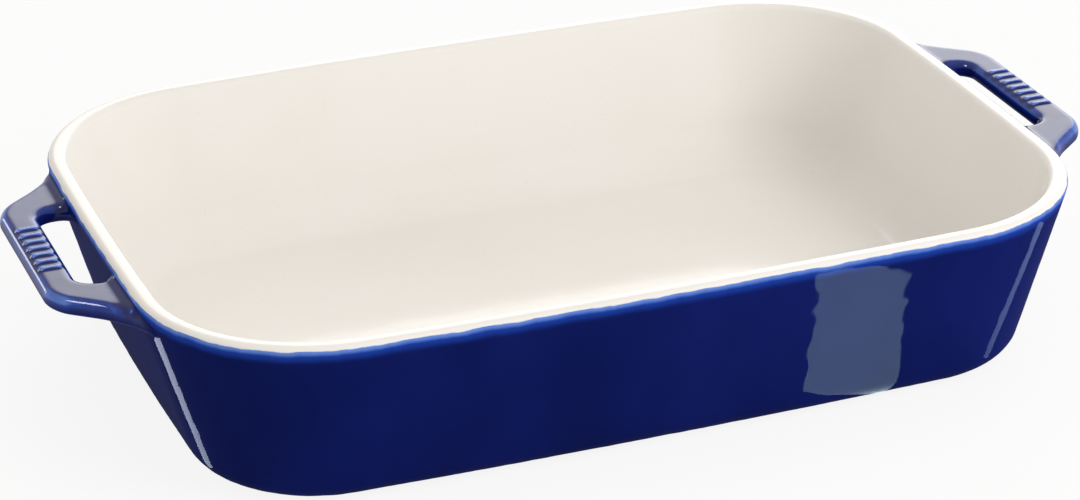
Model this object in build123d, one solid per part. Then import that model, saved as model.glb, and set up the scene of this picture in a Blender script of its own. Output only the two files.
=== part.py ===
from build123d import *
from math import atan2, cos, degrees, hypot, pi, radians, sin, sqrt, tan
import os

# A lasagna dish: a rectangular stoneware baker with drafted walls, a rounded rim, a loop handle on each end
# wall and a bare foot ring, glazed ivory inside and over the rim and blue outside. Millimetres, +Z up,
# +X to the right-hand handle. The origin is at the middle of the base, on the surface that it stands on.

# Rim line: the outermost line of the rim, seen from above, as eight tangent arcs
rim_length = 340.0
rim_width = 240.0
rim_corner_radius = 62.0
long_side_bow = 1.75
short_side_bow = 0.8

# Walls and floor, measured over the glaze
dish_height = 67.0
wall_inset = 18.25
rim_thickness = 6.2
wall_foot_thickness = 8.0
floor_thickness = 8.0
base_edge_radius = 9.5
floor_edge_radius = 20.0
rim_rounding_share = 0.42

# Glaze
glaze_thickness = 0.5
glaze_line_drop = 1.1

# Foot ring
foot_height = 1.2
foot_width = 7.0
foot_edge_chamfer = 0.4

# Handles, measured over the glaze
handle_reach = 24.3
handle_top_drop = 3.5
handle_thickness = 6.4
handle_top_radius = 3.3
handle_underside_radius = 2.4
grip_length = 76.5
grip_width = 12.6
grip_corner_radius = 15.5
arm_angle = 40.0
flare_start = 4.75
flare_angle = 28.0
flare_radius = 40.0
flare_run = 30.0
finger_gap_length = 63.0
finger_gap_radius = 6.5

# Grip ribs on the top of each handle
rib_count = 7
rib_pitch = 5.6
rib_width = 2.6
rib_length = 8.0
rib_height = 0.8

# The walls lean out from the base to the rim, and grow thinner on the way
outer_slope = wall_inset / dish_height
inner_slope = (wall_inset + wall_foot_thickness - rim_thickness) / dish_height
outer_lean = atan2(wall_inset, dish_height)
inner_lean = atan2(inner_slope, 1)
floor_top = foot_height + floor_thickness
rim_rounding = rim_rounding_share * rim_thickness
# How far the rim's rounding draws the edge in from where wall and rim would meet
rim_draw = rim_rounding * (1 / tan(pi / 4 - outer_lean / 2) - 1)


def outer_inset(height, skin):
    """How far inside the rim line the outer face lies, `skin` under the glaze's surface."""
    return (dish_height - height) * outer_slope - rim_draw + skin / cos(outer_lean)


def inner_inset(height, skin):
    """How far inside the rim line the inner face lies, `skin` under the glaze's surface."""
    return (dish_height - height) * inner_slope + rim_thickness - skin / cos(inner_lean)


def middle_inset(height):
    """How far inside the rim line the middle of the wall lies."""
    return (outer_inset(height, glaze_thickness) + inner_inset(height, glaze_thickness)) / 2


# The ring that holds the walls ends, inwards, where the floor has become flat
core_inset = inner_inset(floor_top, 0) + floor_edge_radius
foot_outer_inset = outer_inset(foot_height, 0) + base_edge_radius
foot_inner_inset = foot_outer_inset + foot_width


def bow_radius(side, bow):
    """Radius of a side that bows out by `bow` between its two corners."""
    half_chord = side / 2 - rim_corner_radius
    return (half_chord**2 + bow**2) / (2 * bow)


def rim_arcs():
    """Centre, radius, first angle and sweep of each arc of the rim line, from the right end round."""
    end_radius = bow_radius(rim_width, short_side_bow)
    side_radius = bow_radius(rim_length, long_side_bow)
    end_x = rim_length / 2 - end_radius
    side_y = rim_width / 2 - side_radius
    # A corner's centre is as far from both neighbours' centres as their radii differ
    apart = hypot(end_x, side_y)
    to_end = end_radius - rim_corner_radius
    to_side = side_radius - rim_corner_radius
    along = (to_end**2 - to_side**2 + apart**2) / (2 * apart)
    across = sqrt(to_end**2 - along**2)
    corner_x = end_x * (1 - along / apart) - across * side_y / apart
    corner_y = side_y * along / apart - across * end_x / apart
    end_half = degrees(atan2(corner_y, corner_x - end_x))
    side_half = degrees(atan2(corner_x, corner_y - side_y))
    arcs = []
    for turn, flip in ((0, 1), (180, -1)):
        arcs.append((flip * end_x, 0, end_radius, turn - end_half, 2 * end_half))
        corner_sweep = 90 - end_half - side_half
        arcs.append((flip * corner_x, flip * corner_y, rim_corner_radius, turn + end_half, corner_sweep))
        arcs.append((0, flip * side_y, side_radius, turn + 90 - side_half, 2 * side_half))
        arcs.append((-flip * corner_x, flip * corner_y, rim_corner_radius, turn + 90 + side_half, corner_sweep))
    return arcs


def ring(section):
    """Carries a section round the rim line. Its x is counted outwards from that line, its y upwards."""
    pieces = []
    for x, y, radius, start, sweep in rim_arcs():
        radial = (cos(radians(start)), sin(radians(start)), 0)
        plane = Plane((x, y, 0), x_dir=radial, z_dir=(sin(radians(start)), -cos(radians(start)), 0))
        placed = plane * Pos(radius, 0, 0) * section
        pieces.append(revolve(placed, Axis((x, y, 0), (0, 0, 1)), sweep))
    return pieces[0] + pieces[1:]


def slab(inset, low, high):
    """A level slab whose outline runs `inset` inside the rim line."""
    edges = [CenterArc((x, y), radius - inset, start, sweep) for x, y, radius, start, sweep in rim_arcs()]
    return Pos(0, 0, low) * extrude(make_face(Wire(edges)), high - low)


def rounded(points, radii):
    """A face from its corner points, with the corners that `radii` names rounded."""
    face = make_face(Polyline(*points, close=True))
    for index, radius in radii.items():
        corner = face.vertices().sort_by_distance(Vector(*points[index]))[0]
        face = fillet(corner, radius)
    return face


def wall_section(skin):
    """Section of wall and floor edge, `skin` under the glaze's surface."""
    top = dish_height - skin
    bottom = foot_height + skin
    floor = floor_top - skin
    points = [
        (-outer_inset(top, skin), top),
        (-inner_inset(top, skin), top),
        (-inner_inset(floor, skin), floor),
        (-core_inset, floor),
        (-core_inset, bottom),
        (-outer_inset(bottom, skin), bottom),
    ]
    radii = {
        0: rim_rounding - skin,
        1: rim_rounding - skin,
        2: floor_edge_radius + skin,
        5: base_edge_radius - skin,
    }
    return rounded(points, radii)


def envelope(skin):
    """The walls' outside, filled inwards to the floor's flat part: what the handles end on."""
    bottom = foot_height + skin
    points = [
        (-outer_inset(dish_height, skin), dish_height),
        (-core_inset, dish_height),
        (-core_inset, bottom),
        (-outer_inset(bottom, skin), bottom),
    ]
    return ring(rounded(points, {}))


def glaze_band(zone):
    """The part of the glaze's section that lies in a zone."""
    return (wall_section(0) - wall_section(glaze_thickness)) & make_face(Polyline(*zone, close=True))


# Zones of the glaze, split along the middle of wall and floor, at the rim's glaze line and at the foot ring
glaze_line = dish_height - glaze_line_drop
floor_middle = (foot_height + floor_top) / 2
clear = rim_corner_radius
ivory_zone = [
    (clear, glaze_line),
    (clear, dish_height + clear),
    (-core_inset, dish_height + clear),
    (-core_inset, floor_middle),
    (-middle_inset(floor_middle), floor_middle),
    (-middle_inset(glaze_line), glaze_line),
]
blue_zone = [
    (clear, glaze_line),
    (-middle_inset(glaze_line), glaze_line),
    (-middle_inset(floor_middle), floor_middle),
    (-foot_outer_inset, floor_middle),
    (-foot_outer_inset, 0),
    (clear, 0),
]


def grip_rib(skin):
    """One rounded rib, standing on z = 0 and sunk a little under it."""
    outline = SlotOverall(rib_length - 2 * skin, rib_width - 2 * skin)
    body = Pos(0, 0, -rib_height) * extrude(outline, 2 * rib_height)
    top = body.faces().sort_by(Axis.Z)[-1]
    return fillet(top.edges(), rib_height / 2)


def handle_loop(skin):
    """The right-hand handle, run into the wall, `skin` under its glaze's surface."""
    rim_x = rim_length / 2
    reach = rim_x + handle_reach
    low = dish_height - handle_top_drop - handle_thickness
    arm = radians(arm_angle)
    flare = radians(flare_angle)
    bend_x = rim_x + flare_start
    bend_y = grip_length / 2 + (reach - bend_x) * tan(arm)
    end_x = bend_x - flare_run * sin(flare)
    end_y = bend_y + flare_run * cos(flare)
    root = end_x - rim_corner_radius / 2 + rim_thickness
    half = [(reach, grip_length / 2), (bend_x, bend_y), (end_x, end_y), (root, end_y)]
    points = half + [(x, -y) for x, y in reversed(half)]
    last = len(points) - 1
    radii = {0: grip_corner_radius, last: grip_corner_radius, 1: flare_radius, last - 1: flare_radius}
    plan = rounded(points, radii)
    gap_near = rim_x - outer_inset(low, glaze_thickness)
    gap_far = reach - grip_width
    gap = Pos((gap_near + gap_far) / 2, 0, 0) * RectangleRounded(
        gap_far - gap_near, finger_gap_length, finger_gap_radius
    )
    plan = offset(plan, -skin, kind=Kind.INTERSECTION) - offset(gap, skin)
    height = handle_thickness - 2 * skin
    body = Pos(0, 0, low + skin) * extrude(plan, height)
    for level, radius in ((-1, handle_top_radius), (0, handle_underside_radius)):
        rims = body.edges().filter_by(Plane.XY).filter_by_position(Axis.X, root + skin, reach, (False, True))
        body = fillet(rims.group_by(Axis.Z)[level], radius - skin)
    for n in range(rib_count):
        y = (n - (rib_count - 1) / 2) * rib_pitch
        body += Pos(reach - grip_width / 2, y, low + skin + height) * grip_rib(skin)
    return body


basin = ring(wall_section(glaze_thickness)) + slab(
    core_inset, foot_height + glaze_thickness, floor_top - glaze_thickness
)
liner = ring(glaze_band(ivory_zone)) + slab(core_inset, floor_top - glaze_thickness, floor_top)
foot_points = [
    (-foot_outer_inset, foot_height + glaze_thickness),
    (-foot_inner_inset, foot_height + glaze_thickness),
    (-foot_inner_inset, 0),
    (-foot_outer_inset, 0),
]
foot_face = make_face(Polyline(*foot_points, close=True))
foot = ring(chamfer(foot_face.vertices().group_by(Axis.Y)[0], foot_edge_chamfer))
underside = slab(foot_inner_inset, foot_height, foot_height + glaze_thickness)

clay_handle = handle_loop(glaze_thickness)
glazed_handle = handle_loop(0)
clay_walls = envelope(glaze_thickness)
glazed_walls = envelope(0)
right_handle = clay_handle - clay_walls
right_glaze = glazed_handle - clay_handle - glazed_walls
wall_glaze = ring(glaze_band(blue_zone)) - clay_handle - clay_handle.rotate(Axis.Z, 180)

parts = {
    "stoneware_basin": basin,
    "foot_ring": foot,
    "left_handle": right_handle.rotate(Axis.Z, 180),
    "right_handle": right_handle,
    "ivory_liner_glaze": liner,
    "blue_wall_glaze": wall_glaze,
    "underside_glaze": underside,
    "left_handle_glaze": right_glaze.rotate(Axis.Z, 180),
    "right_handle_glaze": right_glaze,
}

os.makedirs("parts", exist_ok=True)
for name, shape in parts.items():
    export_step(shape, f"parts/{name}.step")
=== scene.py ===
import bpy
import numpy as np
from math import atan2, cos, hypot, pi, radians, sin, sqrt, tan
from mathutils import Matrix, Vector


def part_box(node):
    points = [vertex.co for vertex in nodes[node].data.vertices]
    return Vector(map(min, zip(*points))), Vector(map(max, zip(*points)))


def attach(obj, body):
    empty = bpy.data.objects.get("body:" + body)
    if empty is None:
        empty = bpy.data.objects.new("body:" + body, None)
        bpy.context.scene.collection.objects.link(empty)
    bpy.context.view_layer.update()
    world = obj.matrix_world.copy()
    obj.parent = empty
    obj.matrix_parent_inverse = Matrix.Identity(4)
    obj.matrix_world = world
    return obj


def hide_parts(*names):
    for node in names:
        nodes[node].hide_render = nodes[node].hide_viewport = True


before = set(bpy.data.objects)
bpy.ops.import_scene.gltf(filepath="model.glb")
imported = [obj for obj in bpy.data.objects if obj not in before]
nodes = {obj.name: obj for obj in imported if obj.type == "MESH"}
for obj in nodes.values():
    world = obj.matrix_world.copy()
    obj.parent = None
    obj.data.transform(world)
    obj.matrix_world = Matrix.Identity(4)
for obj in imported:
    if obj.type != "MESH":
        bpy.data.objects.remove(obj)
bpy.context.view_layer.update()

# The body of the dish is stoneware, pressed in one piece and fired: the basin with its drafted walls, and a
# loop handle stuck to each end wall. The glaze coats cover all of it, so here it only gets its clay.
clay_grain_size = 0.0015
clay_grain_depth = 0.0001
dark_clay = (0.62, 0.55, 0.45)
pale_clay = (0.76, 0.7, 0.61)


class Wire:
    """A value that flows between a material's nodes, with arithmetic."""

    def __init__(self, finish, socket):
        self.finish = finish
        self.socket = socket

    def maths(self, operation, first, second):
        return self.finish.node("ShaderNodeMath", {"operation": operation}, {0: first, 1: second})

    def __add__(self, other):
        return self.maths("ADD", self, other)

    def __radd__(self, other):
        return self.maths("ADD", other, self)

    def __sub__(self, other):
        return self.maths("SUBTRACT", self, other)

    def __rsub__(self, other):
        return self.maths("SUBTRACT", other, self)

    def __mul__(self, other):
        return self.maths("MULTIPLY", self, other)

    def __rmul__(self, other):
        return self.maths("MULTIPLY", other, self)

    def __truediv__(self, other):
        return self.maths("DIVIDE", self, other)

    def larger(self, other):
        return self.maths("MAXIMUM", self, other)

    def step(self, low, high):
        """0 below low, 1 above high, and a soft step between; low may be the larger one."""
        return self.finish.node(
            "ShaderNodeMapRange",
            {"interpolation_type": "SMOOTHSTEP"},
            {"Value": self, "From Min": low, "From Max": high},
        )


class Finish:
    """A material on its Principled shader."""

    def __init__(self, name, roughness, specular=0.5):
        self.material = bpy.data.materials.new(name)
        self.material.use_nodes = True
        self.tree = self.material.node_tree
        self.shader = self.tree.nodes["Principled BSDF"]
        self.set("Roughness", roughness)
        self.set("Specular IOR Level", specular)

    def node(self, kind, settings={}, sockets={}, output=0):
        """Adds a node: its settings first, then the values or wires of its sockets."""
        made = self.tree.nodes.new(kind)
        for key, value in settings.items():
            setattr(made, key, value)
        for key, value in sockets.items():
            self.feed(made.inputs[key], value)
        return Wire(self, made.outputs[output])

    def feed(self, socket, value):
        """Links a wire to a socket, or sets the value that the socket has by itself."""
        if isinstance(value, Wire):
            self.tree.links.new(value.socket, socket)
        else:
            socket.default_value = value

    def set(self, name, value):
        """Feeds a socket of the shader."""
        self.feed(self.shader.inputs[name], value)

    def height(self):
        """How high the point lies, in metres."""
        point = self.node("ShaderNodeTexCoord", output="Object")
        return self.node("ShaderNodeSeparateXYZ", {}, {0: point}, output="Z")

    def attribute(self, name):
        """A value that the mesh carries, and 0 on a mesh that carries none."""
        return self.node("ShaderNodeAttribute", {"attribute_name": name}, output="Fac")

    def noise(self, size, detail, stretch=(1, 1, 1), roughness=0.5):
        """Soft noise whose patches are about `size` metres across."""
        point = self.node("ShaderNodeTexCoord", output="Object")
        scaled = self.node("ShaderNodeMapping", {}, {0: point, "Scale": [s / size for s in stretch]})
        values = {"Vector": scaled, "Scale": 1.0, "Detail": detail, "Roughness": roughness}
        return self.node("ShaderNodeTexNoise", {}, values)

    def mix(self, factor, first, second):
        """Two colours, mixed. A Mix node has them in its sockets 6 and 7, and the mixture in its output 2."""
        first, second = (c if isinstance(c, Wire) else (*c, 1) for c in (first, second))
        return self.node("ShaderNodeMix", {"data_type": "RGBA"}, {0: factor, 6: first, 7: second}, output=2)

    def bump(self, height, depth):
        """Relief `depth` metres deep, from a height of 0 to 1."""
        values = {"Strength": 1.0, "Distance": depth, "Height": height}
        self.set("Normal", self.node("ShaderNodeBump", {}, values))

    def dress(self, *pieces):
        """Gives pieces this material and no other."""
        for piece in pieces:
            piece.data.materials.clear()
            piece.data.materials.append(self.material)


clay = Finish("fired_stoneware", roughness=0.75)
clay_grain = clay.noise(clay_grain_size, detail=3)
clay.set("Base Color", clay.mix(clay_grain, dark_clay, pale_clay))
clay.bump(clay_grain, clay_grain_depth)
clay.dress(nodes["stoneware_basin"], nodes["left_handle"], nodes["right_handle"])

# The foot ring is the same clay, wiped free of glaze and ground flat, so that the dish stands without rocking
# and doesn't stick to the kiln shelf. Fine grinding marks and darker grog show in it.
grog_size = 0.0009
grog_depth = 0.00012
stain_size = 0.03
stain_share = 0.4
grog_colour = (0.55, 0.46, 0.36)
ground_colour = (0.78, 0.72, 0.63)
stain_colour = (0.6, 0.53, 0.44)
ground_clay = Finish("bare_ground_clay", roughness=0.85, specular=0.3)
grog = ground_clay.noise(grog_size, detail=4, roughness=0.7)
stain = ground_clay.noise(stain_size, detail=3)
speckled = ground_clay.mix(grog.step(low=0.35, high=0.6), grog_colour, ground_colour)
ground_clay.set("Base Color", ground_clay.mix(stain * stain_share, speckled, stain_colour))
ground_clay.bump(grog, grog_depth)
ground_clay.dress(nodes["foot_ring"])

# The ivory liner is the glaze poured into the dish: one glossy coat over the floor, up the inner walls, over
# the rounded rim and a little down its outside, where it meets the blue in an uneven line.
rim_low, rim_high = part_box("blue_wall_glaze")
dish_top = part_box("ivory_liner_glaze")[1].z
rim_length = rim_high.x - rim_low.x
rim_width = rim_high.y - rim_low.y
glaze_line = rim_high.z
base_level = rim_low.z
rim_corner_radius = 0.062
long_side_bow = 0.00175
short_side_bow = 0.0008
wall_inset = 0.01825
rim_thickness = 0.0062
wall_foot_thickness = 0.008
floor_thickness = 0.008
floor_edge_radius = 0.02
rim_rounding_share = 0.42
glaze_thickness = 0.0005
coat_crease = radians(35)
corner_steps = 40
side_steps = 120
end_steps = 60
rounding_steps = 10
seam_reach = 0.00003
outer_slope = wall_inset / dish_top
inner_slope = (wall_inset + wall_foot_thickness - rim_thickness) / dish_top
outer_lean = atan2(wall_inset, dish_top)
floor_top = base_level + floor_thickness
rim_rounding = rim_rounding_share * rim_thickness
rim_draw = rim_rounding * (1 / tan(pi / 4 - outer_lean / 2) - 1)


def outer_inset(height, skin=0):
    """How far inside the rim line the outer face lies at a height, `skin` under the surface."""
    return (dish_top - height) * outer_slope - rim_draw + skin / cos(outer_lean)


def inner_inset(height):
    """How far inside the rim line the inner face lies at a height."""
    return (dish_top - height) * inner_slope + rim_thickness


def bow_radius(side, bow):
    """Radius of a side that bows out by `bow` between its two corners."""
    half_chord = side / 2 - rim_corner_radius
    return (half_chord**2 + bow**2) / (2 * bow)


def rim_turns():
    """Centre, sweep and steps of each arc of the rim line, from the middle of the right end round to it."""
    end_radius = bow_radius(rim_width, short_side_bow)
    side_radius = bow_radius(rim_length, long_side_bow)
    end_x = rim_length / 2 - end_radius
    side_y = rim_width / 2 - side_radius
    apart = hypot(end_x, side_y)
    to_end = end_radius - rim_corner_radius
    to_side = side_radius - rim_corner_radius
    along = (to_end**2 - to_side**2 + apart**2) / (2 * apart)
    across = sqrt(to_end**2 - along**2)
    corner_x = end_x * (1 - along / apart) - across * side_y / apart
    corner_y = side_y * along / apart - across * end_x / apart
    end_half = atan2(corner_y, corner_x - end_x)
    side_half = atan2(corner_x, corner_y - side_y)
    corner = pi / 2 - end_half - side_half
    half_end = end_steps // 2
    return [
        ((end_x, 0), end_half, half_end),
        ((corner_x, corner_y), corner, corner_steps),
        ((0, side_y), 2 * side_half, side_steps),
        ((-corner_x, corner_y), corner, corner_steps),
        ((-end_x, 0), 2 * end_half, end_steps),
        ((-corner_x, -corner_y), corner, corner_steps),
        ((0, -side_y), 2 * side_half, side_steps),
        ((corner_x, -corner_y), corner, corner_steps),
        ((end_x, 0), end_half, half_end),
    ]


def object_mode():
    """Leaves edit mode."""
    if bpy.context.mode != "OBJECT":
        bpy.ops.object.mode_set(mode="OBJECT")


def pick(*pieces):
    """Selects just these pieces, with the first one active, or none at all."""
    object_mode()
    for other in bpy.context.selected_objects:
        other.select_set(False)
    for piece in pieces:
        piece.select_set(True)
    if pieces:
        bpy.context.view_layer.objects.active = pieces[0]


def smooth(piece, angle):
    """Shades a piece smooth, apart from edges sharper than the angle."""
    pick(piece)
    bpy.ops.object.shade_smooth_by_angle(angle=angle, keep_sharp_edges=False)
    pick()


def clear_mesh(piece):
    """Deselects every vertex, edge and face of a piece, in object mode."""
    object_mode()
    for part in (*piece.data.vertices, *piece.data.edges, *piece.data.polygons):
        part.select = False


def select_vertices(piece, test):
    """Goes into edit mode with just the vertices that pass the test selected."""
    clear_mesh(piece)
    for vertex in piece.data.vertices:
        vertex.select = test(vertex)
    bpy.ops.object.mode_set(mode="EDIT")
    bpy.ops.mesh.select_mode(type="VERT")


def select_faces(piece, test):
    """Goes into edit mode with just the faces that pass the test selected."""
    clear_mesh(piece)
    for face in piece.data.polygons:
        face.select = test(face)
    bpy.ops.object.mode_set(mode="EDIT")
    bpy.ops.mesh.select_mode(type="FACE")


def turn_outwards():
    """Selects all of the mesh in edit mode, and turns its faces outwards."""
    bpy.ops.mesh.select_all(action="SELECT")
    bpy.ops.mesh.normals_make_consistent(inside=False)


def close_seams():
    """Merges the doubles that a spin leaves, and turns the faces outwards."""
    bpy.ops.mesh.select_all(action="SELECT")
    bpy.ops.mesh.remove_doubles(threshold=seam_reach)
    turn_outwards()


def profile(name, corners, roundings):
    """A chain of edges across the right end wall's middle, through (x, z) corners, some of them rounded."""
    pick()
    (x, z), *rest = corners
    bpy.ops.mesh.primitive_plane_add(size=rim_thickness)
    piece = bpy.context.object
    piece.name = piece.data.name = name
    bpy.ops.object.mode_set(mode="EDIT")
    bpy.ops.mesh.select_mode(type="VERT")
    bpy.ops.mesh.merge(type="CENTER")
    bpy.ops.transform.translate(value=(x, 0, z))
    for next_x, next_z in rest:
        bpy.ops.mesh.extrude_region_move(TRANSFORM_OT_translate={"value": (next_x - x, 0, next_z - z)})
        x, z = next_x, next_z
    for index, radius in roundings.items():
        here, before, after = (Vector(corners[i]) for i in (index, index - 1, (index + 1) % len(corners)))
        corner = Vector((here.x, 0, here.y))
        select_vertices(piece, lambda vertex: (vertex.co - corner).length < seam_reach)
        turn = (before - here).angle(after - here)
        bpy.ops.mesh.bevel(offset=radius / tan(turn / 2), segments=rounding_steps, affect="VERTICES")
    return piece


def spin_round():
    """Spins a profile about the centre of each arc of the rim line in turn, and closes the seam."""
    bpy.ops.mesh.select_all(action="SELECT")
    for (x, y), sweep, steps in rim_turns():
        bpy.ops.mesh.spin(steps=steps, angle=-sweep, center=(x, y, 0), axis=(0, 0, 1))
    close_seams()


def apply_modifier(piece, name, kind, **settings):
    """Adds a modifier to a piece with its settings and applies it."""
    object_mode()
    bpy.context.view_layer.objects.active = piece
    modifier = piece.modifiers.new(name, kind)
    for key, value in settings.items():
        setattr(modifier, key, value)
    bpy.ops.object.modifier_apply(modifier=modifier.name)


def coat(piece):
    """Gives a glaze's outer face its thickness, inwards."""
    apply_modifier(piece, "coat", "SOLIDIFY", thickness=glaze_thickness, offset=-1)
    smooth(piece, coat_crease)


core_inset = inner_inset(floor_top) + floor_edge_radius
liner_corners = [
    (rim_high.x - outer_inset(floor_top), floor_top),
    (rim_high.x - outer_inset(dish_top), dish_top),
    (rim_high.x - inner_inset(dish_top), dish_top),
    (rim_high.x - inner_inset(floor_top), floor_top),
    (rim_high.x - core_inset, floor_top),
]
liner = profile("ivory_liner", liner_corners, {1: rim_rounding, 2: rim_rounding, 3: floor_edge_radius})
spin_round()
select_faces(liner, lambda face: face.normal.xy.dot(face.center.xy) > 0)
bpy.ops.mesh.bisect(plane_co=(0, 0, glaze_line), plane_no=(0, 0, 1), clear_inner=True)
bpy.ops.mesh.select_all(action="DESELECT")
bpy.ops.mesh.select_mode(type="VERT")
bpy.ops.mesh.select_non_manifold(extend=False)
object_mode()
open_edges = [vertex for vertex in liner.data.vertices if vertex.select]
floor_edge = [vertex.index for vertex in open_edges if vertex.co.z < floor_top + seam_reach]
select_vertices(liner, lambda vertex: vertex.index in floor_edge)
bpy.ops.mesh.edge_face_add()
turn_outwards()
coat(liner)
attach(liner, "root")
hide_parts("ivory_liner_glaze")

cloud_size = 0.09
speck_size = 0.0016
speck_start = 0.68
speck_share = 0.15
ivory_wave_size = 0.012
ivory_wave_depth = 0.00005
shaded_cream = (0.845, 0.825, 0.785)
pale_cream = (0.865, 0.85, 0.82)
speck_colour = (0.66, 0.58, 0.47)
ivory = Finish("ivory_glaze", roughness=0.1, specular=0.35)
cloud = ivory.noise(cloud_size, detail=3)
speck = ivory.noise(speck_size, detail=2)
cream = ivory.mix(cloud.step(low=0.35, high=0.65), shaded_cream, pale_cream)
specks = (speck - speck_start).step(low=0, high=0.06) * speck_share
ivory.set("Base Color", ivory.mix(specks, cream, speck_colour))
ivory.bump(ivory.noise(ivory_wave_size, detail=2), ivory_wave_depth)
ivory.dress(liner)

# The blue wall glaze is a cobalt coat sprayed on the outside of the walls, from under the ivory rim down to
# the foot ring, and in the recess under the dish. Where it starts it lies thin, so the pale clay shows
# through it as a light blue band, and a painted highlight on the rim's rounding makes that band paler still.
base_edge_radius = 0.0095
wall_rows = 34
wall_wave_depth = 0.00021
wall_wave_size = 0.0048
wave_middle = 0.7
sharp_edge = radians(45)


def select_edges(piece, test, sharp=False):
    """Goes into edit mode with just the edges that pass the test selected, of all or of the sharp ones."""
    object_mode()
    bpy.context.view_layer.objects.active = piece
    bpy.ops.object.mode_set(mode="EDIT")
    bpy.ops.mesh.select_mode(type="EDGE")
    bpy.ops.mesh.select_all(action="DESELECT" if sharp else "SELECT")
    if sharp:
        bpy.ops.mesh.edges_select_sharp(sharpness=sharp_edge)
    object_mode()
    ends = piece.data.vertices
    chosen = [side.select and test(*(ends[i].co for i in side.vertices)) for side in piece.data.edges]
    clear_mesh(piece)
    for side, keep in zip(piece.data.edges, chosen):
        side.select = keep
    bpy.ops.object.mode_set(mode="EDIT")
    bpy.ops.mesh.select_mode(type="EDGE")


def waver(piece, depth, size):
    """Gives a surface the faint waves of hand-finished clay, `depth` high, `size` wide and mostly inwards."""
    clouds = bpy.data.textures.new("waves", "CLOUDS")
    clouds.noise_scale = size
    settings = {"strength": depth, "mid_level": wave_middle, "texture_coords": "LOCAL"}
    apply_modifier(piece, "waves", "DISPLACE", texture=clouds, **settings)


foot_outer_inset = outer_inset(base_level) + base_edge_radius
wall_corners = [
    (rim_high.x - rim_thickness / 2, dish_top),
    (rim_high.x - outer_inset(dish_top), dish_top),
    (rim_high.x - outer_inset(base_level), base_level),
    (rim_high.x - foot_outer_inset, base_level),
]
wall = profile("blue_wall", wall_corners, {1: rim_rounding, 2: base_edge_radius})
select_edges(wall, lambda a, b: (a - b).length > dish_top / 2)
bpy.ops.mesh.subdivide(number_cuts=wall_rows)
spin_round()
bpy.ops.mesh.bisect(plane_co=(0, 0, glaze_line), plane_no=(0, 0, 1), clear_outer=True)
turn_outwards()
waver(wall, wall_wave_depth, wall_wave_size)
coat(wall)
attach(wall, "root")
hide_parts("blue_wall_glaze")

wall_gloss = 0.035
millimetre = 0.001
drip_size = 0.009
drip_height = 1.6
drip_edge_share = 0.25
pool_size = 0.05
away_drop = 20
edge_wear_and_sheen = 1.1
# Between each pair of depths, in millimetres below the glaze line, one colour gives way to the next
thin_and_lit_depths = (5.5, 1.8)
band_and_highlight_depths = (2.2, 0.4)
ivory_depths = (0.35, 0.0)
pooled_cobalt = (0.003, 0.008, 0.09)
even_cobalt = (0.005, 0.012, 0.13)
thin_and_lit_cobalt = (0.01, 0.045, 0.34)
band_and_highlight_cobalt = (0.12, 0.24, 0.68)
broken_edge_and_highlight_cobalt = (0.012, 0.055, 0.36)
wear_and_highlight_cobalt = (0.1, 0.2, 0.6)
ivory_overlap = (0.84, 0.82, 0.78)
cobalt = Finish("cobalt_glaze", roughness=0.3, specular=0)
edge = cobalt.attribute("edge")
away = cobalt.attribute("away")
gloss = cobalt.attribute("gloss")
drip = cobalt.noise(drip_size, detail=3, stretch=(1, 1, 0.5)) - 0.5
below_line = (glaze_line - cobalt.height()) / millimetre + drip * drip_height + away * away_drop
evenness = cobalt.noise(pool_size, detail=3, stretch=(1, 1, 0.6)).step(low=0.3, high=0.7)
shade = cobalt.mix(evenness, pooled_cobalt, even_cobalt)
# Below the glaze line the blue is painted lighter: partly thin glaze over pale clay, partly a painted
# highlight on the rim's rounding
shade = cobalt.mix(below_line.step(*thin_and_lit_depths), shade, thin_and_lit_cobalt)
shade = cobalt.mix(below_line.step(*band_and_highlight_depths), shade, band_and_highlight_cobalt)
# The sharpest bends, counted more where they face up, are painted lighter: partly glaze breaking thin over
# the edges, partly painted highlight
wear_and_highlight_mask = edge * edge_wear_and_sheen + drip * drip_edge_share
shade = cobalt.mix(wear_and_highlight_mask.step(low=0.2, high=1.1), shade, broken_edge_and_highlight_cobalt)
shade = cobalt.mix(wear_and_highlight_mask.step(low=0.72, high=1.15), shade, wear_and_highlight_cobalt)
cobalt.set("Base Color", cobalt.mix(below_line.step(*ivory_depths), shade, ivory_overlap))
cobalt.set("Coat Weight", wall_gloss + (1 - wall_gloss) * gloss)
cobalt.set("Coat Roughness", 0.05)
cobalt.dress(wall, nodes["underside_glaze"])

# A loop handle sticks out of each end wall: a level clay loop under the same blue glaze, with every edge
# rounded and its roots run softly into the wall. Seven raised ribs on top keep fingers from slipping.
handle_reach = 0.0243
handle_top_drop = 0.0035
handle_thickness = 0.0064
handle_top_radius = 0.0033
handle_underside_radius = 0.0024
handle_edge_steps = 6
grip_length = 0.0765
grip_width = 0.0126
grip_corner_radius = 0.0155
arm_angle = radians(40)
flare_start = 0.00475
flare_angle = radians(28)
flare_radius = 0.04
flare_run = 0.03
finger_gap_length = 0.063
finger_gap_width = 0.0132
finger_gap_radius = 0.0065
rib_count = 7
rib_pitch = 0.0056
rib_width = 0.0026
rib_length = 0.008
rib_height = 0.0008
rib_end_share = 0.49
rib_end_steps = 5
rib_edge_steps = 3
plan_steps = 12
straight = radians(1)
grip_end = rim_high.x + handle_reach
handle_top = dish_top - handle_top_drop
handle_low = handle_top - handle_thickness
bend_x = rim_high.x + flare_start
bend_y = grip_length / 2 + (grip_end - bend_x) * tan(arm_angle)
flare_x = bend_x - flare_run * sin(flare_angle)
flare_y = bend_y + flare_run * cos(flare_angle)
root_depth = 0.0001
root_low = 0.05
root_wall_share = 0.95
root_corner_sweep = radians(27)
wedge_corner_sweep = radians(1.5)
wedge_reach = 0.003
handle_root = rim_high.x - root_wall_share * rim_thickness
remesh_size = 0.0004
even_out_rounds = 10
soft_root_rounds = 110
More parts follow.
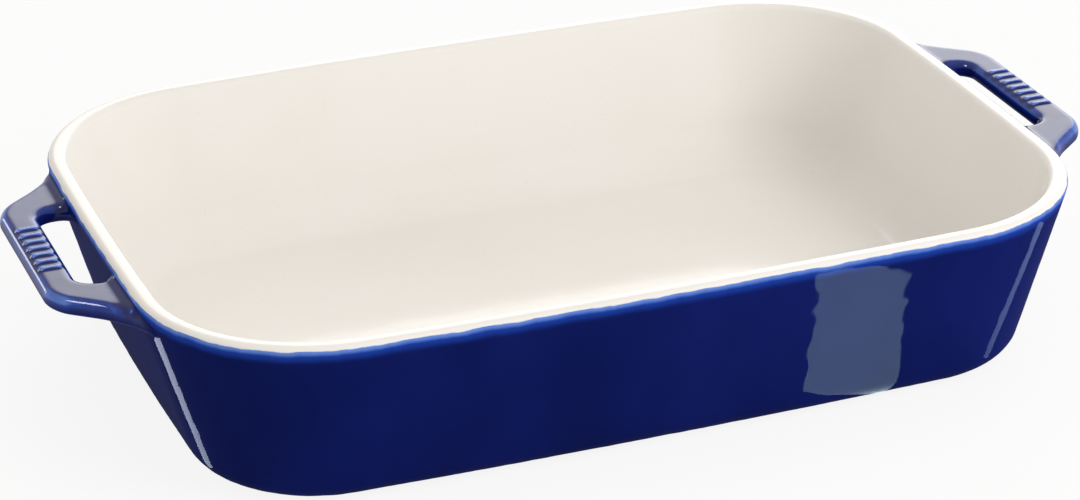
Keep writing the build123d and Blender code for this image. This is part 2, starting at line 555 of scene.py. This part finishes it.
soft_root_reach = 0.007
soft_root_fade = 0.0045
soft_root_levels = 8
handle_wave_depth = 0.00008
handle_wave_size = 0.012
handle_crease = radians(80)


def at(point, x, y):
    """Whether a point lies over (x, y) or over its mirror image (x, -y)."""
    return abs(point.x - x) < seam_reach and abs(abs(point.y) - y) < seam_reach


def plate(name, low_x, high_x, width, level):
    """A level rectangle, ready to be shaped."""
    pick()
    bpy.ops.mesh.primitive_plane_add(size=1, location=((low_x + high_x) / 2, 0, level))
    piece = bpy.context.object
    piece.name = piece.data.name = name
    piece.scale = (high_x - low_x, width, 1)
    bpy.ops.object.transform_apply(location=True, rotation=True, scale=True)
    bpy.ops.object.mode_set(mode="EDIT")
    return piece


def push_out(piece, old_x, new_x, scale):
    """Extrudes the outer edge of a plate and scales its width."""
    select_edges(piece, lambda a, b: abs(a.x - old_x) < seam_reach and abs(b.x - old_x) < seam_reach)
    bpy.ops.mesh.extrude_region_move(TRANSFORM_OT_translate={"value": (new_x - old_x, 0, 0)})
    bpy.ops.transform.resize(value=(1, scale, 1), center_override=(new_x, 0, 0))


def round_corners(radius, turn):
    """Rounds the selected corners of a plate, where its outline turns by an angle."""
    bpy.ops.mesh.bevel(offset=radius * tan(turn / 2), segments=plan_steps, affect="VERTICES")


def thicken(height):
    """Stands the flat plate in edit mode up into a block."""
    bpy.ops.mesh.select_all(action="SELECT")
    bpy.ops.mesh.extrude_region_move(TRANSFORM_OT_translate={"value": (0, 0, height)})
    turn_outwards()


def round_rim(piece, level, radius):
    """Rounds the level edges at one height, apart from those at the root."""
    start = handle_root + seam_reach
    select_edges(
        piece,
        lambda a, b: max(abs(a.z - level), abs(b.z - level)) < seam_reach and max(a.x, b.x) > start,
        sharp=True,
    )
    bpy.ops.mesh.bevel(offset=radius, segments=handle_edge_steps, affect="EDGES", clamp_overlap=False)


def cut(piece, tool):
    """Takes a tool's shape out of a piece, and the tool away."""
    apply_modifier(piece, "cut", "BOOLEAN", object=tool, operation="DIFFERENCE", solver="EXACT")
    bpy.data.objects.remove(tool)


def spin_both_ways(piece, corner_sweep):
    """Closes a profile and spins it along the end wall, both ways into the corners."""
    bpy.ops.mesh.select_all(action="SELECT")
    bpy.ops.mesh.edge_face_add()
    (end_centre, end_sweep, _), (corner_centre, _, _) = rim_turns()[:2]
    for side in (1, -1):
        select_vertices(piece, lambda vertex: abs(vertex.co.y) < seam_reach)
        for (centre_x, centre_y), sweep in ((end_centre, end_sweep), (corner_centre, corner_sweep)):
            centre = (centre_x, side * centre_y, 0)
            bpy.ops.mesh.spin(steps=2 * plan_steps, angle=-side * sweep, center=centre, axis=(0, 0, 1))
    close_seams()


handle = plate("right_loop_handle", flare_x - handle_thickness, flare_x, 2 * flare_y, handle_low)
push_out(handle, flare_x, bend_x, bend_y / flare_y)
push_out(handle, bend_x, grip_end, grip_length / 2 / bend_y)
bpy.ops.mesh.select_all(action="SELECT")
bpy.ops.mesh.dissolve_limited(angle_limit=straight)
select_vertices(handle, lambda vertex: at(vertex.co, grip_end, grip_length / 2))
round_corners(grip_corner_radius, pi / 2 - arm_angle)
select_vertices(handle, lambda vertex: at(vertex.co, bend_x, bend_y))
round_corners(flare_radius, pi / 2 - arm_angle - flare_angle)
thicken(handle_thickness)
bpy.ops.mesh.bisect(plane_co=(handle_root, 0, 0), plane_no=(1, 0, 0), clear_inner=True, use_fill=True)

gap_far = grip_end - grip_width
gap_low = handle_low - handle_thickness
gap = plate("finger_gap", gap_far - finger_gap_width, gap_far, finger_gap_length, gap_low)
bpy.ops.mesh.select_all(action="SELECT")
bpy.ops.mesh.bevel(offset=finger_gap_radius, segments=plan_steps, affect="VERTICES")
thicken(3 * handle_thickness)
cut(handle, gap)
round_rim(handle, handle_top, handle_top_radius)
round_rim(handle, handle_low, handle_underside_radius)

rib_x = grip_end - grip_width / 2
rib_top = handle_top + rib_height
ribs = []
for n in range(rib_count):
    rib = plate("rib", rib_x - rib_length / 2, rib_x + rib_length / 2, rib_width, handle_top - rib_height)
    bpy.ops.mesh.select_all(action="SELECT")
    bpy.ops.mesh.bevel(offset=rib_end_share * rib_width, segments=rib_end_steps, affect="VERTICES")
    bpy.ops.transform.translate(value=(0, (n - (rib_count - 1) / 2) * rib_pitch, 0))
    thicken(2 * rib_height)
    select_edges(rib, lambda a, b: min(a.z, b.z) > rib_top - seam_reach, sharp=True)
    bpy.ops.mesh.bevel(offset=rib_height / 2, segments=rib_edge_steps, affect="EDGES")
    ribs.append(rib)

root_corners = [
    (rim_high.x - outer_inset(root_low, root_depth), root_low),
    (rim_high.x - outer_inset(dish_top, root_depth), dish_top - root_depth),
    (handle_root, dish_top - root_depth),
    (handle_root - outer_inset(root_low), root_low),
]
root = profile("handle_root", root_corners, {1: rim_rounding - root_depth})
spin_both_ways(root, root_corner_sweep)
wedge_corners = [
    (rim_high.x - outer_inset(handle_top), glaze_line - root_depth),
    (rim_high.x - outer_inset(handle_top) + wedge_reach, handle_top - glaze_thickness),
    (handle_root, handle_top - glaze_thickness),
    (handle_root, glaze_line - root_depth),
]
wedge = profile("handle_wedge", wedge_corners, {})
spin_both_ways(wedge, wedge_corner_sweep)
wedge_gap = plate("wedge_gap", handle_root - wedge_reach, grip_end, finger_gap_length, handle_low)
thicken(3 * handle_thickness)
cut(wedge, wedge_gap)

pick(handle, root, wedge, *ribs)
bpy.ops.object.join()
apply_modifier(handle, "one_skin", "REMESH", mode="VOXEL", voxel_size=remesh_size)


def vertex_rows(piece, kind):
    """The places or the normals of a piece's vertices, a row for each."""
    values = np.empty(len(piece.data.vertices) * 3)
    piece.data.vertices.foreach_get(kind, values)
    return values.reshape(-1, 3)


def wall_distance(points):
    """How far points beside the right end wall stand out from its surface."""
    (end_x, _), half, _ = rim_turns()[0]
    (corner_x, corner_y), _, _ = rim_turns()[1]
    across = abs(points[:, 1])
    round_end = np.arctan2(across, points[:, 0] - end_x) < half
    from_end = np.hypot(points[:, 0] - end_x, across) - bow_radius(rim_width, short_side_bow)
    from_corner = np.hypot(points[:, 0] - corner_x, across - corner_y) - rim_corner_radius
    level_distance = np.where(round_end, from_end, from_corner) + outer_inset(points[:, 2])
    return level_distance * cos(outer_lean)


def outward_bend(piece, points, normals, rounds=6):
    """How sharply a surface bends outwards at each vertex, per metre, evened out in rounds."""
    ends = np.empty(len(piece.data.edges) * 2, dtype=np.int32)
    piece.data.edges.foreach_get("vertices", ends)
    first, second = ends.reshape(-1, 2).T
    along = points[second] - points[first]
    turn = normals[second] - normals[first]
    bend = (along * turn).sum(1) / (along * along).sum(1)
    total = np.zeros(len(points))
    count = np.zeros(len(points))
    for end in (first, second):
        np.add.at(total, end, bend)
        np.add.at(count, end, 1)
    bend = total / count
    for _ in range(rounds):
        spread = np.zeros(len(points))
        np.add.at(spread, first, bend[second])
        np.add.at(spread, second, bend[first])
        bend = spread / count
    return bend


def carry(piece, name, values):
    """Gives a piece's mesh a value at each vertex, for its material to read."""
    attribute = piece.data.attributes.new(name, "FLOAT", "POINT")
    attribute.data.foreach_set("value", values.astype(np.float32))


out = wall_distance(vertex_rows(handle, "co"))
apply_modifier(handle, "even_out", "SMOOTH", factor=0.5, iterations=even_out_rounds)
near_wall = handle.vertex_groups.new(name="near_wall")
levels = np.round(np.clip((soft_root_reach - out) / soft_root_fade, 0, 1) * soft_root_levels)
for level in range(1, soft_root_levels + 1):
    members = np.nonzero(levels == level)[0]
    near_wall.add([int(i) for i in members], level / soft_root_levels, "REPLACE")
apply_modifier(
    handle, "soft_root", "SMOOTH", factor=0.5, iterations=soft_root_rounds, vertex_group="near_wall"
)
handle.vertex_groups.clear()
waver(handle, handle_wave_depth, handle_wave_size)

# The mesh carries where its edges are sharp (more where they face up, as painted light from above), where it
# stands clear of the wall, and where its gloss shows
edge_bend = 160
edge_start = 0.2
lit_from_above_tilt = 0.6
away_run = 0.0012
away_start = 0.1
gloss_tilt = 0.3
least_gloss = 0.1
points = vertex_rows(handle, "co")
normals = vertex_rows(handle, "normal")
upward = normals[:, 2]
edge_share = np.clip(outward_bend(handle, points, normals) / edge_bend - edge_start, 0, 1)
away_share = np.clip(wall_distance(points) / away_run - away_start, 0, 1)
# Upward-facing edges count more, as painted light from above
carry(handle, "edge", edge_share * np.clip(lit_from_above_tilt + upward, 0, 1))
carry(handle, "away", away_share)
carry(handle, "gloss", away_share * np.clip(gloss_tilt + upward, least_gloss, 1))
smooth(handle, handle_crease)

pick(handle)
bpy.ops.object.duplicate()
left_handle = bpy.context.object
left_handle.name = left_handle.data.name = "left_loop_handle"
bpy.ops.object.mode_set(mode="EDIT")
bpy.ops.mesh.select_all(action="SELECT")
bpy.ops.transform.rotate(value=pi, orient_axis="Z", center_override=(0, 0, 0))
object_mode()
for piece, side in ((handle, "right"), (left_handle, "left")):
    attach(piece, "root")
    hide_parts(f"{side}_handle_glaze")
    cobalt.dress(piece)

# The dish stands on a plain pale floor, with the camera to its front left, looking down into it. The room and
# two soft lamps light it evenly. Two more lamps and three small bright cards don't light it, and show only as
# reflections in the blue glaze of the wall and the handles.
view_azimuth = radians(-20.591)
view_elevation = radians(25.038)
view_roll = radians(-0.78)
view_distance = 1.35006
view_target = Vector((0.017836, 0.061007, 0))
sensor_width = 36
focal_pixels = 3531.8
frame_width = 1080
camera_data = bpy.data.cameras.new("camera")
camera_data.sensor_width = sensor_width
camera_data.lens = focal_pixels / frame_width * sensor_width
camera = bpy.data.objects.new("camera", camera_data)
bpy.context.scene.collection.objects.link(camera)
level_share = cos(view_elevation)
back = Vector((sin(view_azimuth) * level_share, -cos(view_azimuth) * level_share, sin(view_elevation)))
right = (-back).cross(Vector((0, 0, 1))).normalized()
up = right.cross(-back)
right, up = right * cos(view_roll) + up * sin(view_roll), up * cos(view_roll) - right * sin(view_roll)
turn = Matrix((right, up, back)).transposed().to_4x4()
camera.matrix_world = Matrix.Translation(view_target + back * view_distance) @ turn
bpy.context.scene.camera = camera

floor_size = 8
floor_colour = (0.86, 0.86, 0.86, 1)
white = (1, 1, 1)
glow_share = 0.88
pick()
bpy.ops.mesh.primitive_plane_add(size=floor_size)
floor = bpy.context.object
floor.name = floor.data.name = "floor"
table_top = Finish("pale_floor", roughness=0.7, specular=0.1)
table_top.set("Base Color", floor_colour)
camera_ray, glossy_ray, transmission_ray = (
    table_top.node("ShaderNodeLightPath", output=kind)
    for kind in ("Is Camera Ray", "Is Glossy Ray", "Is Transmission Ray")
)
seen = camera_ray.larger(glossy_ray).larger(transmission_ray)
glow = table_top.node("ShaderNodeEmission", {}, {"Color": (*white, 1), "Strength": 1.0})
surface = Wire(table_top, table_top.shader.outputs[0])
both = table_top.node("ShaderNodeMixShader", {}, {0: seen * glow_share, 1: surface, 2: glow})
table_top.tree.links.new(both.socket, table_top.tree.nodes["Material Output"].inputs[0])
table_top.dress(floor)


class Room(Finish):
    """The light of the room around, on the world's Background shader."""

    def __init__(self, name):
        world = bpy.data.worlds.new(name)
        world.use_nodes = True
        self.tree = world.node_tree
        self.shader = self.tree.nodes["Background"]
        bpy.context.scene.world = world


room_colour = (0.61, 0.572, 0.53)
horizon_rise = {"From Min": 0.08, "From Max": 0.35}
window_colour = (3, 3, 3)
window_direction = Vector((0.45, 0.8, 0.37)).normalized()
window_edge = cos(radians(27))
window_core = cos(radians(9))
room = Room("studio")
direction = room.node("ShaderNodeTexCoord", output="Generated")
rise = room.node("ShaderNodeSeparateXYZ", {}, {0: direction}, output="Z")
ceiling = room.node("ShaderNodeMapRange", {}, {"Value": rise, **horizon_rise})
towards = room.node(
    "ShaderNodeVectorMath", {"operation": "DOT_PRODUCT"}, {0: direction, 1: window_direction}, output="Value"
)
walls = room.mix(ceiling, white, room_colour)
room.set("Color", room.mix(towards.step(window_edge, window_core), walls, window_colour))

blue_pieces = bpy.data.collections.new("blue_pieces")
for piece in (wall, handle, left_handle):
    blue_pieces.objects.link(piece)


def softbox(name, place, aim, size, radiance, glossy=True, diffuse=True):
    """A soft lamp of a given brightness, turned to a point."""
    lamp_data = bpy.data.lights.new(name, "AREA")
    lamp_data.shape = "RECTANGLE"
    lamp_data.size, lamp_data.size_y = size
    lamp_data.energy = radiance * pi * size[0] * size[1]
    lamp = bpy.data.objects.new(name, lamp_data)
    bpy.context.scene.collection.objects.link(lamp)
    lamp.location = place
    lamp.rotation_euler = (Vector(place) - Vector(aim)).to_track_quat("Z", "Y").to_euler()
    lamp.visible_camera = False
    lamp.visible_glossy = glossy
    lamp.visible_diffuse = diffuse
    return lamp


def reflection(name, place, aim, size, radiance):
    """A lamp that shows only as a reflection in the blue pieces."""
    lamp = softbox(name, place, aim, size, radiance, diffuse=False)
    lamp.light_linking.receiver_collection = blue_pieces
    return lamp


def highlight_card(name, start, end, facing, width, radiance, colour):
    """A small bright card from start to end, turned to face the wall, for the wall to reflect."""
    start, end, facing = Vector(start), Vector(end), Vector(facing)
    along = end - start
    size = (along.length, width)
    card = reflection(name, (start + end) / 2, start, size, radiance)
    facing = (facing - facing.project(along)).normalized()
    along.normalize()
    card.rotation_euler = Matrix((along, along.cross(facing), -facing)).transposed().to_euler()
    card.data.color = colour


dish_middle = (0, 0, 0.03)
softbox("key_softbox", place=(0.8, -1.1, 1.0), aim=dish_middle, size=(0.9, 0.9), radiance=4.5, glossy=False)
softbox("top_softbox", place=(-0.1, 0.1, 1.5), aim=dish_middle, size=(1.0, 1.0), radiance=0.5, glossy=False)
reflection("edge_softbox", place=(-0.9, -0.1, 1.3), aim=(-0.17, 0, 0.06), size=(0.4, 0.4), radiance=14)
reflection("back_softbox", place=(-0.78, 1.0, 0.3), aim=(-0.19, 0, 0.06), size=(0.4, 0.2), radiance=4.5)
highlight_card(
    "front_card",
    start=(0.0713, -0.1038, 0.001),
    end=(0.1015, -0.1575, 0.001),
    facing=(0, 0, 1),
    width=0.033,
    radiance=34.5,
    colour=(0.69, 0.94, 1),
)
highlight_card(
    "right_card",
    start=(0.1459, -0.1065, 0.0571),
    end=(0.1317, -0.0996, 0.0012),
    facing=(-0.77, -0.15, 0.62),
    width=0.0026,
    radiance=27,
    colour=(0.45, 0.6, 1),
)
highlight_card(
    "left_card",
    start=(-0.1678, -0.0648, 0.0533),
    end=(-0.1535, -0.0673, 0.0012),
    facing=(0.385, -0.665, 0.64),
    width=0.0027,
    radiance=47,
    colour=(0.72, 0.8, 1),
)
bpy.context.scene.view_settings.view_transform = "Standard"
